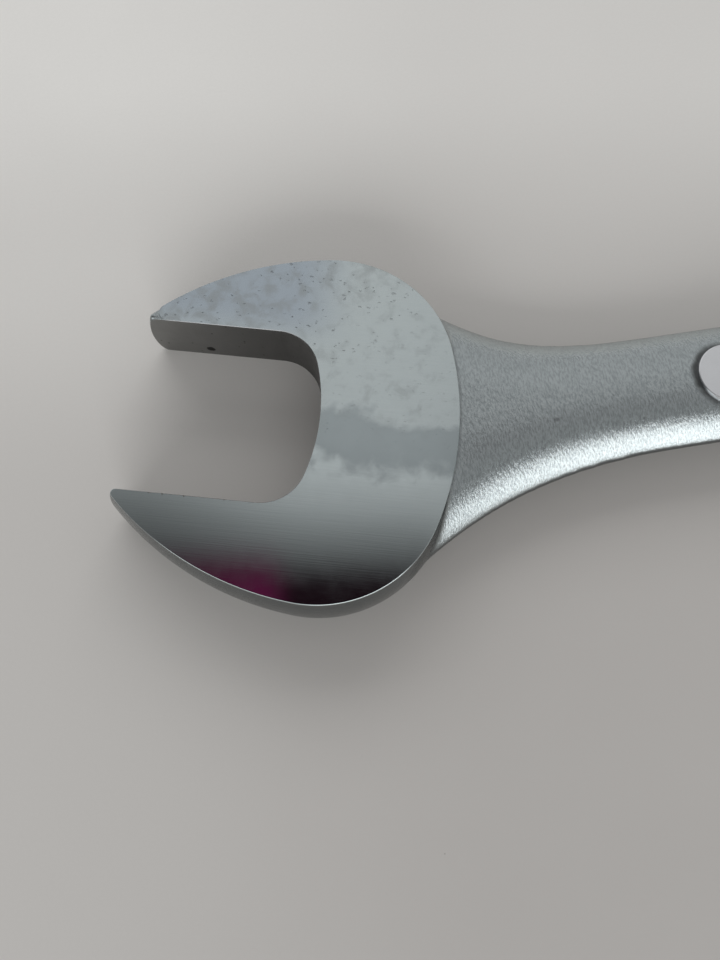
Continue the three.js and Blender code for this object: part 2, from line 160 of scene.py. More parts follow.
SPRING_COIL_RADIUS = 1.25
SPRING_WIRE_RADIUS = 0.25
SPRING_TURNS = 7
SPRING_HOLE_RADIUS = 1.8
SPRING_HOLE_END = 29.8
SPRING_SEAT_DEPTH = 2.2

# ---- Finish of the surfaces ----
VOXEL = 0.45  # grid of the as-forged surface
FORGED_SMOOTHING = 7  # smoothing passes over it
ARC_STEP = 0.35  # longest straight piece of most arcs
EDGE_BREAK = 0.08  # broken edge of a ground face
SLOT_EDGE_BREAK = 0.06
# The forging's rounded edge: distance below the head's face, and inset.
HEAD_EDGE = [(0.3, 0.08), (0.12, 0.25), (0.05, 0.42)]
GROUND_TIP_RADII = (1.2, 0.6)  # the ground face stops short of the upper and lower tips
SHARP_ANGLE = math.radians(28)

# ---- Places, from the frame ----
joints = {joint["name"]: joint for joint in frame["joints"]}
ring_centre = Vector(joints["gear_turn"]["pos_m"])
shank_origin = ring_centre - Vector((JAW_TO_RING * MM, 0, 0))
jaw_centre = shank_origin + Vector((0, JAW_OFFSET * MM, 0))


# ---- Outlines: arrays of points ----


def arc(centre, radius, start, end, step=ARC_STEP):
    count = max(2, math.ceil(abs(end - start) * radius / step))
    angles = np.linspace(start, end, count + 1)
    return np.column_stack([centre[0] + radius * np.cos(angles), centre[1] + radius * np.sin(angles)])


def bezier(a, b, c, d, count=60):
    t = np.linspace(0, 1, count)[:, None]
    a, b, c, d = (np.array(point, float) for point in (a, b, c, d))
    return (1 - t) ** 3 * a + 3 * (1 - t) ** 2 * t * b + 3 * (1 - t) * t**2 * c + t**3 * d


def outline(*runs):
    """Joins runs of points into one closed outline, anticlockwise, with no doubled point."""
    points = np.vstack([np.atleast_2d(np.array(run, float)) for run in runs])
    gaps = np.linalg.norm(points - np.roll(points, 1, axis=0), axis=1)
    points = points[gaps > 1e-4]
    x, y = points.T
    area = np.sum(x * np.roll(y, -1) - y * np.roll(x, -1))
    return points if area > 0 else points[::-1]


def inset(points, distance):
    """Moves an anticlockwise outline inwards by a distance."""
    before = points - np.roll(points, 1, axis=0)
    after = np.roll(points, -1, axis=0) - points
    normals = []
    for run in (before, after):
        unit = run / np.linalg.norm(run, axis=1)[:, None]
        normals.append(np.column_stack([-unit[:, 1], unit[:, 0]]))
    middle = normals[0] + normals[1]
    return points + 2 * distance * middle / np.sum(middle * middle, axis=1)[:, None]


def fillet(corners, radius, step=0.12):
    """Rounds every corner of an outline."""
    corners = outline(corners)
    rounded = []
    for i, corner in enumerate(corners):
        to_before = corners[i - 1] - corner
        to_after = corners[(i + 1) % len(corners)] - corner
        to_before /= np.linalg.norm(to_before)
        to_after /= np.linalg.norm(to_after)
        half = math.acos(np.clip(np.dot(to_before, to_after), -1, 1)) / 2
        bisector = (to_before + to_after) / np.linalg.norm(to_before + to_after)
        centre = corner + bisector * radius / math.sin(half)
        first = corner + to_before * radius / math.tan(half) - centre
        last = corner + to_after * radius / math.tan(half) - centre
        start = math.atan2(first[1], first[0])
        sweep = (math.atan2(last[1], last[0]) - start + math.pi) % (2 * math.pi) - math.pi
        rounded.append(arc(centre, radius, start, start + sweep, step))
    return outline(*rounded)


def turned(points, angle, offset=(0, 0)):
    c, s = math.cos(angle), math.sin(angle)
    return points @ np.array([[c, s], [-s, c]]) + np.array(offset)


def angle_to(centre, point):
    return math.atan2(point[1] - centre[1], point[0] - centre[0])


# ---- Meshes ----
# The body's material slots, in order: a face keeps its slot through every join and cut.
FORGED, GROUND, POLISHED, BROACHED, MACHINED = range(5)
SLOT_NAMES = ["forged_chrome", "ground_chrome", "panel_chrome", "broached_steel", "machined_steel"]


def paint(mesh, slot):
    """Gives a mesh all the slots and puts every face in one of them."""
    for name in SLOT_NAMES:
        mesh.materials.append(bpy.data.materials.get(name) or bpy.data.materials.new(name))
    mesh.polygons.foreach_set("material_index", [slot] * len(mesh.polygons))


def mesh_object(vertices, faces, slot=FORGED):
    mesh = bpy.data.meshes.new("shape")
    mesh.from_pydata([tuple(v) for v in vertices], [], faces)
    paint(mesh, slot)
    edit = bmesh.new()
    edit.from_mesh(mesh)
    bmesh.ops.recalc_face_normals(edit, faces=edit.faces)
    edit.to_mesh(mesh)
    edit.free()
    shape = bpy.data.objects.new("shape", mesh)
    bpy.context.scene.collection.objects.link(shape)
    return shape


def tube_faces(rings, around):
    """Quads between rings of points, with a cap on each end."""
    faces = [tuple(range(around)), tuple((rings - 1) * around + i for i in range(around))]
    for ring in range(rings - 1):
        a = ring * around
        b = a + around
        for i in range(around):
            j = (i + 1) % around
            faces.append((a + i, a + j, b + j, b + i))
    return faces


def stack(points, levels, slot=FORGED):
    """A solid with this outline at each (z, inset) level, from the bottom up."""
    rings = [np.column_stack([inset(points, by), np.full(len(points), z)]) for z, by in levels]
    return mesh_object(np.vstack(rings), tube_faces(len(levels), len(points)), slot)


def rounded_levels(bottom, top, radius, steps=5):
    """Levels of a plate whose two edges are rounded."""
    turn = [math.pi / 2 * i / steps for i in range(steps + 1)]
    low = [(bottom + radius * (1 - math.sin(a)), radius * (1 - math.cos(a))) for a in turn]
    high = [(bottom + top - z, by) for z, by in low]
    return low[::-1] + high


def mirrored(levels):
    """The same levels on the other side of the middle."""
    return [(-z, by) for z, by in levels[::-1]]


def flared_levels(face, flare, reach=0.5):
    """Levels of a cutter that breaks the edge it leaves on the faces at plus and minus z."""
    upper = [(face - flare, 0), (face + reach, -(flare + reach))]
    return mirrored(upper) + upper


def lathe(profile, slot=FORGED, around=192):
    """A solid of revolution round Z, from (radius, z) points that start and end on the axis."""
    inner = profile[1:-1]
    angles = np.linspace(0, 2 * math.pi, around, endpoint=False)
    rings = [
        np.column_stack([r * np.cos(angles), r * np.sin(angles), np.full(around, z)]) for r, z in inner
    ]
    return mesh_object(np.vstack(rings), tube_faces(len(inner), around), slot)


def sweep(path, radius, around=14):
    """A round wire along a path of points."""
    along = np.gradient(path, axis=0)
    along /= np.linalg.norm(along, axis=1)[:, None]
    side = np.cross(along, (1, 0, 0))
    side /= np.linalg.norm(side, axis=1)[:, None]
    other = np.cross(along, side)
    vertices = []
    for i, point in enumerate(path):
        for j in range(around):
            angle = 2 * math.pi * j / around
            vertices.append(point + radius * (math.cos(angle) * side[i] + math.sin(angle) * other[i]))
    return mesh_object(vertices, tube_faces(len(path), around))


def settled(shape):
    """Applies a shape's modifiers."""
    graph = bpy.context.evaluated_depsgraph_get()
    mesh = bpy.data.meshes.new_from_object(shape.evaluated_get(graph))
    shape.modifiers.clear()
    shape.data = mesh
    return shape


def combine(base, tools, operation):
    for tool in tools:
        change = base.modifiers.new("combine", "BOOLEAN")
        change.operation = operation
        change.solver = "MANIFOLD"
        change.object = tool
    settled(base)
    for tool in tools:
        bpy.data.objects.remove(tool)
    return base


def join(base, *tools):
    return combine(base, tools, "UNION")


def cut(base, *tools):
    return combine(base, tools, "DIFFERENCE")


def move(shape, x=0, y=0, z=0, turn=0):
    shape.data.transform(Matrix.Translation((x, y, z)) @ Matrix.Rotation(turn, 4, "Z"))
    return shape


def forged(shape):
    """Melts the joins of a rough shape together, as they are on a forging."""
    grid = shape.modifiers.new("grid", "REMESH")
    grid.mode = "VOXEL"
    grid.voxel_size = VOXEL
    soften = shape.modifiers.new("soften", "SMOOTH")
    soften.factor = 0.5
    soften.iterations = FORGED_SMOOTHING
    return settled(shape)


def is_flat_face(face):
    return face.material_index in (GROUND, POLISHED) and abs(face.normal.z) > 0.9999


def bounds_flat_face(edge):
    """True where a ground or polished face ends, which keeps that face's shading truly flat."""
    flat = [is_flat_face(face) for face in edge.link_faces]
    return any(flat) and not all(flat)


def finished(shape, name, body, node, materials):
    """Names the piece, moves it to the CAD frame, ties it to its body and hides its CAD node's part."""
    shape.name = name
    shape.data.name = name
    edit = bmesh.new()
    edit.from_mesh(shape.data)
    bmesh.ops.dissolve_degenerate(edit, dist=1e-4, edges=edit.edges)
    for face in edit.faces:
        face.smooth = True
    for edge in edit.edges:
        edge.smooth = edge.calc_face_angle(0) < SHARP_ANGLE and not bounds_flat_face(edge)
    edit.to_mesh(shape.data)
    edit.free()
    shape.data.transform(Matrix.Translation(shank_origin) @ Matrix.Scale(MM, 4))
    indices = [face.material_index for face in shape.data.polygons]
    shape.data.materials.clear()
    for material in materials:
        shape.data.materials.append(material)
    shape.data.polygons.foreach_set("material_index", indices)
    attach(shape, body)
    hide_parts(node)
    return shape


# ---- Open jaw, in its own frame: u into the head, v across the slot ----


def jaw_arcs():
    """Arc centres on the +v side; the -v side mirrors them."""
    horn = np.array([HORN_CENTRE_U, JAW_WIDTH / 2 - HORN_RADIUS])
    reach = HORN_RADIUS - CHEEK_RADIUS
    cheek = horn + reach * np.array([-math.sin(CHEEK_TURN), math.cos(CHEEK_TURN)])
    depth = NECK_ARC_U - cheek[0]
    neck_radius = (depth**2 + cheek[1] ** 2 - CHEEK_RADIUS**2) / (2 * (depth - CHEEK_RADIUS))
    neck = np.array([NECK_ARC_U - neck_radius, 0])
    return horn, cheek, neck, neck_radius


def tip_centre(horn, side, radius):
    across = ACROSS_FLATS / 2 + side * SLOT_SHIFT + radius
    reach = math.sqrt((HORN_RADIUS - radius) ** 2 - (across - horn[1]) ** 2)
    return np.array([horn[0] - reach, across])


def head_outline(tip_radii):
    """The head seen square on, with the given radii at its upper and lower tips."""
    horn, cheek, neck, neck_radius = jaw_arcs()
    horn_end = math.pi / 2 + CHEEK_TURN
    cheek_end = angle_to(neck, cheek)
    mirror = np.array([1, -1])
    sides = []
    for side, radius in zip((1, -1), tip_radii):
        tip = tip_centre(horn, side, radius)
        start = angle_to(horn, tip)
        run = np.vstack(
            [
                arc(tip, radius, 1.5 * math.pi, start, 0.1),
                arc(horn, HORN_RADIUS, start, horn_end),
                arc(cheek, CHEEK_RADIUS, horn_end, cheek_end),
            ]
        )
        sides.append(run if side > 0 else (run * mirror)[::-1])
    return outline(sides[0], arc(neck, neck_radius, cheek_end, -cheek_end), sides[1])


def slot_outline():
    flat = ACROSS_FLATS / 2
    throat = np.array([THROAT_U - THROAT_RADIUS, 0])
    across = flat - SLOT_CORNER_RADIUS
    corner_u = throat[0] + math.sqrt((THROAT_RADIUS - SLOT_CORNER_RADIUS) ** 2 - across**2)
    corner = np.array([corner_u, across])
    low_corner = np.array([corner_u, -across])
    end = angle_to(throat, corner)
    points = outline(
        [(-HORN_RADIUS, -flat)],
        arc(low_corner, SLOT_CORNER_RADIUS, -math.pi / 2, -end),
        arc(throat, THROAT_RADIUS, -end, end),
        arc(corner, SLOT_CORNER_RADIUS, end, math.pi / 2),
        [(-HORN_RADIUS, flat)],
    )
    return points + np.array([0, SLOT_SHIFT])


def in_jaw(shape):
    return move(shape, y=JAW_OFFSET, turn=-JAW_TILT)


def forged_head():
    """The head before grinding: its sides bulge between the two faces and its edges are rounded."""
    top = JAW_HALF - SWELL_END
    heights = np.linspace(-top, top, 13)
    swelling = [(z, -SIDE_SWELL * (1 - (z / top) ** 2)) for z in heights]
    upper = [(JAW_HALF - below, by) for below, by in HEAD_EDGE]
    levels = mirrored(upper) + swelling + upper
    return in_jaw(stack(head_outline((TIP_RADIUS, TIP_RADIUS)), levels))


def head_plate():
    """The ground faces, with their edges just broken."""
    levels = rounded_levels(-JAW_HALF, JAW_HALF, EDGE_BREAK, 3)
    return in_jaw(stack(head_outline(GROUND_TIP_RADII), levels, GROUND))


def slot_cutter():
    return in_jaw(stack(slot_outline(), flared_levels(JAW_HALF, SLOT_EDGE_BREAK), BROACHED))


# Dents along the head's edges: u, v, z and size.
NICKS = [
    (-18.6, -11.5, 5.0, 0.22),
    (-17.0, -11.6, 5.05, 0.15),
    (-14.2, -11.5, 5.05, 0.2),
    (-9.0, -11.55, 5.05, 0.14),
    (5.2, 24.0, 5.0, 0.2),
]
GOUGE = (-15.4, 12.5, -3.2)  # a deep dark gouge in the upper flat: u, v, z


def nick(u, v, z, size):
    """A small pebble that cuts a dent, turned a different way at each place."""
    dent = bmesh.new()
    bmesh.ops.create_icosphere(dent, subdivisions=2, radius=size)
    flattened = Matrix.Rotation(u, 4, "Z") @ Matrix.Diagonal((1.3, 0.7, 0.8, 1))
    dent.transform(Matrix.Translation((u, v, z)) @ flattened)
    mesh = bpy.data.meshes.new("dent")
    dent.to_mesh(mesh)
    dent.free()
    paint(mesh, BROACHED)
    shape = bpy.data.objects.new("dent", mesh)
    bpy.context.scene.collection.objects.link(shape)
    return in_jaw(shape)


# ---- Neck, shank and flare ----


def smooth(x, low, high):
    t = min(max((x - low) / (high - low), 0), 1)
    return t * t * (3 - 2 * t)


def side_curve(side, leave, slope, pull):
    """Points of one side edge: off the cheek, along the shank, out to the ring."""
    cheek = turned(jaw_arcs()[1] * np.array([1, side]), -JAW_TILT, (0, JAW_OFFSET))
    reach = CHEEK_RADIUS + SIDE_SWELL / 2
    start = cheek + reach * np.array([math.cos(leave), side * math.sin(leave)])
    along = np.array([math.cos(slope), -side * math.sin(slope)])
    fair_in = np.array([JAW_FAIR_X, side * SHANK_HALF_WIDTH])
    fair_out = np.array([RING_FAIR_X, side * SHANK_RING_END_HALF_WIDTH])
    flare_end = np.array([JAW_TO_RING - NOSE_RADIUS + FLARE_REACH, side * FLARE_HALF_WIDTH])
    flare_pull = np.array([1, side]) * FLARE_END_PULL
    return np.vstack(
        [
            bezier(start, start + along * pull, fair_in - (NECK_END_PULL, 0), fair_in),
            bezier(fair_out, fair_out + (FLARE_START_PULL, 0), flare_end - flare_pull, flare_end),
        ]
    )


def half_thickness(x):
    nose_x = JAW_TO_RING - NOSE_RADIUS
    to_jaw = 1 - smooth(x, NECK_START_X, JAW_FAIR_X)
    to_ring = smooth(x, nose_x - FLARE_RISE, nose_x + FLARE_TOP_REACH)
    jaw_rise = (JAW_HALF - NECK_STEP - SHANK_HALF_THICKNESS) * to_jaw
    ring_rise = (RING_HALF - FLARE_SHOULDER - SHANK_HALF_THICKNESS) * to_ring
    return SHANK_HALF_THICKNESS + jaw_rise + ring_rise


def rough_shank():
    """A loft of cambered sections from inside the head to inside the ring."""
    upper = side_curve(1, *NECK_UPPER)
    lower = side_curve(-1, *NECK_LOWER)
    across = np.cos(np.linspace(0, math.pi, 48))
    stations = np.arange(SHANK_FIRST_X, JAW_TO_RING - BORE_RADIUS - SHANK_LAST_WALL, 1.0)
    rings = []
    for x in stations:
        top = np.interp(x, upper[:, 0], upper[:, 1])
        bottom = np.interp(x, lower[:, 0], lower[:, 1])
        half_width = (top - bottom) / 2
        camber = half_thickness(x) - SHANK_EDGE_HALF
        power = SHANK_EDGE_SLOPE * half_width / camber
        y = (top + bottom) / 2 + across * half_width
        z = SHANK_EDGE_HALF + camber * (1 - np.abs(across) ** power)
        upper_face = np.column_stack([np.full(len(y), x), y, z])
        rings.append(np.vstack([upper_face, upper_face[::-1] * (1, 1, -1)]))
    return mesh_object(np.vstack(rings), tube_faces(len(stations), 2 * len(across)))


def panel_outline():
    start = (PANEL_START_X + PANEL_HALF_WIDTH, 0)
    end = (PANEL_END_X - PANEL_HALF_WIDTH, 0)
    return outline(
        arc(end, PANEL_HALF_WIDTH, -math.pi / 2, math.pi / 2, 0.2),
        arc(start, PANEL_HALF_WIDTH, math.pi / 2, 1.5 * math.pi, 0.2),
    )


def panels():
    """One bar through the shank that shows as a raised panel on each broad face, its walls drafted."""
    foot = (PANEL_FACE_Z - PANEL_FOOT, -PANEL_DRAFT)
    edge = [(PANEL_FACE_Z - PANEL_EDGE, 0), (PANEL_FACE_Z - 0.04, 0.04), (PANEL_FACE_Z, PANEL_EDGE)]
    upper = [foot, *edge]
    return stack(panel_outline(), mirrored(upper) + upper, POLISHED)


# ---- Ring end, drawn round its own centre ----


def in_ring(shape):
    return move(shape, x=JAW_TO_RING)


def ring_outline():
    leave = math.pi - FLANK_TURN
    nose = math.asin(NOSE_HALF_WIDTH / NOSE_RADIUS)
    head = np.array([RING_RADIUS * math.cos(leave), RING_RADIUS * math.sin(leave)])
    pull = head + FLANK_PULL * np.array([-math.sin(leave), math.cos(leave)])
    tip = np.array([-NOSE_RADIUS * math.cos(nose), NOSE_RADIUS * math.sin(nose)])
    flank = bezier(head, head + (pull - head) * 2 / 3, tip + (pull - tip) * 2 / 3, tip, 30)
    return outline(
        arc((0, 0), RING_RADIUS, -leave, leave),
        flank,
        arc((0, 0), NOSE_RADIUS, math.pi - nose, math.pi + nose),
        (flank * np.array([1, -1]))[::-1],
    )


def rough_ring():
    """The ring before grinding: its sides bulge a little at mid-height."""
    top = RING_HALF - SWELL_END
    band, swell = RING_BAND
    upper = [(band, -swell), (top, RING_INSET)]
    return in_ring(stack(ring_outline(), mirrored(upper) + upper))


def ring_plate():
    """The ring's two ground faces with their rounded edges; its upright sides stay as forged."""
    plate = stack(ring_outline(), rounded_levels(-RING_HALF, RING_HALF, RING_EDGE_RADIUS, 6), GROUND)
    for face in plate.data.polygons:
        if abs(face.normal.z) < 0.3:
            face.material_index = FORGED
    return in_ring(plate)


def ring_bore():
    """Everything turned out of the ring: lip, gear bore, retaining-ring groove and both broken mouths."""
    overrun = 0.3
    beyond = RING_HALF + overrun
    flared = RING_MOUTH + overrun
    low_groove = CLIP_BOTTOM_Z - GAP
    high_groove = CLIP_TOP_Z + GAP
    profile = [
        (0, -beyond),
        (LIP_RADIUS + flared, -beyond),
        (LIP_RADIUS, -RING_HALF + RING_MOUTH),
        (LIP_RADIUS, LIP_TOP_Z),
        (BORE_RADIUS, LIP_TOP_Z),
        (BORE_RADIUS, low_groove),
        (GROOVE_RADIUS, low_groove),
        (GROOVE_RADIUS, high_groove),
        (BORE_RADIUS, high_groove),
        (BORE_RADIUS, RING_HALF - RING_MOUTH),
        (BORE_RADIUS + flared, beyond),
        (0, beyond),
    ]
    return in_ring(lathe(profile, MACHINED))


def pawl_pocket():
    back = -(PAWL_BACK_RADIUS + PAWL_TRAVEL + GAP)
    half = PAWL_HALF_WIDTH + GAP
    corners = [(back, -half), (-LIP_RADIUS, -half), (-LIP_RADIUS, half), (back, half)]
    height = PAWL_HALF_HEIGHT + GAP
    rounded = fillet(corners, POCKET_CORNER_RADIUS)
    return in_ring(stack(rounded, [(-height, 0), (height, 0)], MACHINED))


def cross_bar(radius, start, end, slot=FORGED):
    """A round bar along X, to cut a hole with."""
    bar = lathe([(0, start), (radius, start), (radius, end), (0, end)], slot, 48)
    bar.data.transform(Matrix.Rotation(math.pi / 2, 4, "Y"))
    return bar


def wrench_body():
    rough = forged(join(rough_shank(), forged_head(), rough_ring()))
    join(rough, forged_head(), head_plate(), ring_plate(), panels())
    spring_hole = in_ring(cross_bar(SPRING_HOLE_RADIUS, -SPRING_HOLE_END, -PAWL_BACK_RADIUS, MACHINED))
    dents = [nick(*place) for place in NICKS]
    cut(rough, slot_cutter(), ring_bore(), pawl_pocket(), spring_hole)
    # The slanted faces are the slot's broken edges, which are brighter than its walls.
    for face in rough.data.polygons:
        if face.material_index == BROACHED and 0.2 < abs(face.normal.z) < 0.9:
            face.material_index = MACHINED
    return cut(rough, *dents)


# ---- Ratchet gear ----


def tooth_points(tip, root, first, count):
    points = []
    for i in range(count):
        start = first + i * TOOTH_PITCH
        for radius, share in ((root, 0), (tip, TOOTH_RISE), (tip, TOOTH_CREST)):
            angle = start + share * TOOTH_PITCH
            points.append((radius * math.cos(angle), radius * math.sin(angle)))
    return points


def twelve_point_outline():
    inner = ACROSS_FLATS / 2 / math.cos(math.pi / 12)
    corners = []
    for i in range(24):
        radius = inner if i % 2 else BORE_POINT_RADIUS
        corners.append((radius * math.cos(i * math.pi / 12), radius * math.sin(i * math.pi / 12)))
    return fillet(corners, BORE_CORNER_RADIUS, 0.06)


def ratchet_gear():
    """A toothed band on a plain journal, with the twelve-point bore and a cone leading in at each end."""
    journal = [
        (0, -GEAR_FACE_Z),
        (GEAR_JOURNAL_RADIUS - GEAR_EDGE, -GEAR_FACE_Z),
        (GEAR_JOURNAL_RADIUS, -GEAR_FACE_Z + GEAR_EDGE),
        (GEAR_JOURNAL_RADIUS, GEAR_FACE_Z - GEAR_EDGE),
        (GEAR_JOURNAL_RADIUS - GEAR_EDGE, GEAR_FACE_Z),
        (0, GEAR_FACE_Z),
    ]
    bottom = LIP_TOP_Z + GAP
    top = CLIP_BOTTOM_Z - GAP
    teeth = outline(tooth_points(GEAR_TIP_RADIUS, GEAR_ROOT_RADIUS, 0, GEAR_TEETH))
    height, depth = TOOTH_BREAK
    toothed = stack(teeth, [(bottom, depth), (bottom + height, 0), (top - height, 0), (top, depth)])
    overrun = 0.6
    beyond = GEAR_FACE_Z + overrun
    broach = stack(twelve_point_outline(), [(-beyond, 0), (beyond, 0)])
    cone_foot = GEAR_FACE_Z - GEAR_LEAD
    mouth = BORE_POINT_RADIUS - GEAR_LEAD_INSET
    cones = []
    for side in (1, -1):
        profile = [(0, cone_foot), (mouth - GEAR_LEAD, cone_foot), (mouth + overrun, beyond), (0, beyond)]
        cones.append(lathe([(radius, side * z) for radius, z in profile]))
    return in_ring(cut(join(lathe(journal), toothed), broach, *cones))


# ---- Pawl, its spring and the retaining ring ----


def pawl():
    first = round((math.pi - PAWL_TEETH / 2 * TOOTH_PITCH) / TOOTH_PITCH) * TOOTH_PITCH
    front = tooth_points(GEAR_TIP_RADIUS + GAP, GEAR_ROOT_RADIUS + GAP, first, PAWL_TEETH)
    relief_x = -math.sqrt((GEAR_TIP_RADIUS + GAP + PAWL_RELIEF) ** 2 - PAWL_HALF_WIDTH**2)
    back = [(relief_x, -PAWL_HALF_WIDTH), (-PAWL_BACK_RADIUS, -PAWL_HALF_WIDTH)]
    back += [(-PAWL_BACK_RADIUS, PAWL_HALF_WIDTH), (relief_x, PAWL_HALF_WIDTH)]
    lower = [(-PAWL_HALF_HEIGHT, PAWL_EDGE), (PAWL_EDGE - PAWL_HALF_HEIGHT, 0)]
    block = stack(outline(front, back), lower + mirrored(lower))
    seat_start = -PAWL_BACK_RADIUS - PAWL_SEAT_OVERRUN
    seat = cross_bar(SPRING_HOLE_RADIUS, seat_start, -PAWL_BACK_RADIUS + SPRING_SEAT_DEPTH)
    return in_ring(cut(block, seat))


def pawl_spring():
    """A compression spring whose end turns lie close together."""
    start = GAP + SPRING_WIRE_RADIUS - SPRING_HOLE_END
    end = SPRING_SEAT_DEPTH - GAP - SPRING_WIRE_RADIUS - PAWL_BACK_RADIUS
    turns = np.linspace(0, SPRING_TURNS, SPRING_TURNS * 40)
    close = 2 * SPRING_WIRE_RADIUS * 1.1
    open_start = start + close
    along = np.interp(turns, [0, 1, SPRING_TURNS - 1, SPRING_TURNS], [start, open_start, end - close, end])
    angle = 2 * math.pi * turns
    path = np.column_stack([along, SPRING_COIL_RADIUS * np.cos(angle), SPRING_COIL_RADIUS * np.sin(angle)])
    return in_ring(sweep(path, SPRING_WIRE_RADIUS))


def retaining_ring():
    half = CLIP_GAP_ANGLE / 2
    start = math.pi / 2 + half
    end = math.pi / 2 - half + 2 * math.pi
    shape = outline(
        arc((0, 0), CLIP_OUTER_RADIUS, start, end),
        arc((0, 0), CLIP_INNER_RADIUS, end, start),
    )
    levels = rounded_levels(CLIP_BOTTOM_Z, CLIP_TOP_Z, CLIP_EDGE_RADIUS, 3)
    return in_ring(stack(shape, levels))


# ---- Node trees, written as nested calls ----


class Nodes:
    def __init__(self, owner):
        owner.use_nodes = True
        self.tree = owner.node_tree

    def feed(self, socket, value):
        if isinstance(value, bpy.types.NodeSocket):
            self.tree.links.new(value, socket)
        elif isinstance(value, tuple) and len(value) == 3 and socket.type == "RGBA":
            socket.default_value = (*value, 1)
        else:
            socket.default_value = value

    def make(self, kind, inputs, **settings):
        node = self.tree.nodes.new("ShaderNode" + kind)
        for key, value in settings.items():
            setattr(node, key, value)
        for key, value in inputs.items():
            self.feed(node.inputs[key], value)
        return node

    def math(self, operation, a, b=0.0, c=0.0):
        return self.make("Math", {0: a, 1: b, 2: c}, operation=operation).outputs[0]

    def times(self, a, b):
        return self.math("MULTIPLY", a, b)

    def plus(self, a, b):
        return self.math("ADD", a, b)

    def length(self, a, b):
        return self.math("SQRT", self.plus(self.times(a, a), self.times(b, b)))

    def fade(self, value, low, high, start=0.0, end=1.0):
        """Goes smoothly from start to end as value goes from low to high."""
        inputs = {"Value": value, "From Min": low, "From Max": high, "To Min": start, "To Max": end}
        return self.make("MapRange", inputs, interpolation_type="SMOOTHSTEP").outputs[0]

    def mix(self, share, a, b):
        """Colour a with a share of colour b."""
        node = self.make("Mix", {0: share, 6: a, 7: b}, data_type="RGBA")
        return node.outputs[2]

    def noise(self, place, scale, detail=2.0, rough=0.5, warp=0.0):
        inputs = {"Vector": place, "Scale": scale, "Detail": detail, "Roughness": rough, "Distortion": warp}
        return self.make("TexNoise", inputs).outputs["Fac"]

    def split(self, vector):
        return self.make("SeparateXYZ", {0: vector}).outputs

    def stretch(self, place, scale, turn=0.0):
        """The same place, turned about Z and then scaled on each axis."""
        return self.make("Mapping", {"Vector": place, "Rotation": (0, 0, turn), "Scale": scale}).outputs[0]

    def millimetres(self, centre, turn=0.0):
        """Object place in millimetres from a centre, on axes turned about Z."""
        place = self.make("TexCoord", {}).outputs["Object"]
        inputs = {"Vector": place, "Location": centre, "Rotation": (0, 0, turn), "Scale": (MM, MM, MM)}
        return self.make("Mapping", inputs, vector_type="TEXTURE").outputs[0]

    def specks(self, place, scale, radius, share):
        """1 inside small round specks, one in some of the cells of a random grid."""
        cells = self.make("TexVoronoi", {"Vector": place, "Scale": scale})
        chosen = self.math("GREATER_THAN", self.split(cells.outputs["Color"])[0], 1 - share)
        inside = self.fade(cells.outputs["Distance"], radius * scale, radius * scale * 0.4)
        return self.times(chosen, inside)

    def bump(self, height, depth, normal=None):
        """Surface relief: height from 0 to 1 stands for depth millimetres."""
        inputs = {"Height": height, "Distance": depth * MM, "Strength": 1.0}
        if normal is not None:
            inputs["Normal"] = normal
        return self.make("Bump", inputs).outputs[0]


def metal(name, recipe):
    """A metal whose colour, roughness and relief come from recipe(nodes)."""
    material = bpy.data.materials.get(name) or bpy.data.materials.new(name)
    nodes = Nodes(material)
    surface = nodes.tree.nodes["Principled BSDF"]
    surface.inputs["Metallic"].default_value = 1.0
    colour, roughness, normal = recipe(nodes)
    nodes.feed(surface.inputs["Base Color"], colour)
    nodes.feed(surface.inputs["Roughness"], roughness)
    nodes.feed(surface.inputs["Normal"], normal)
    return material


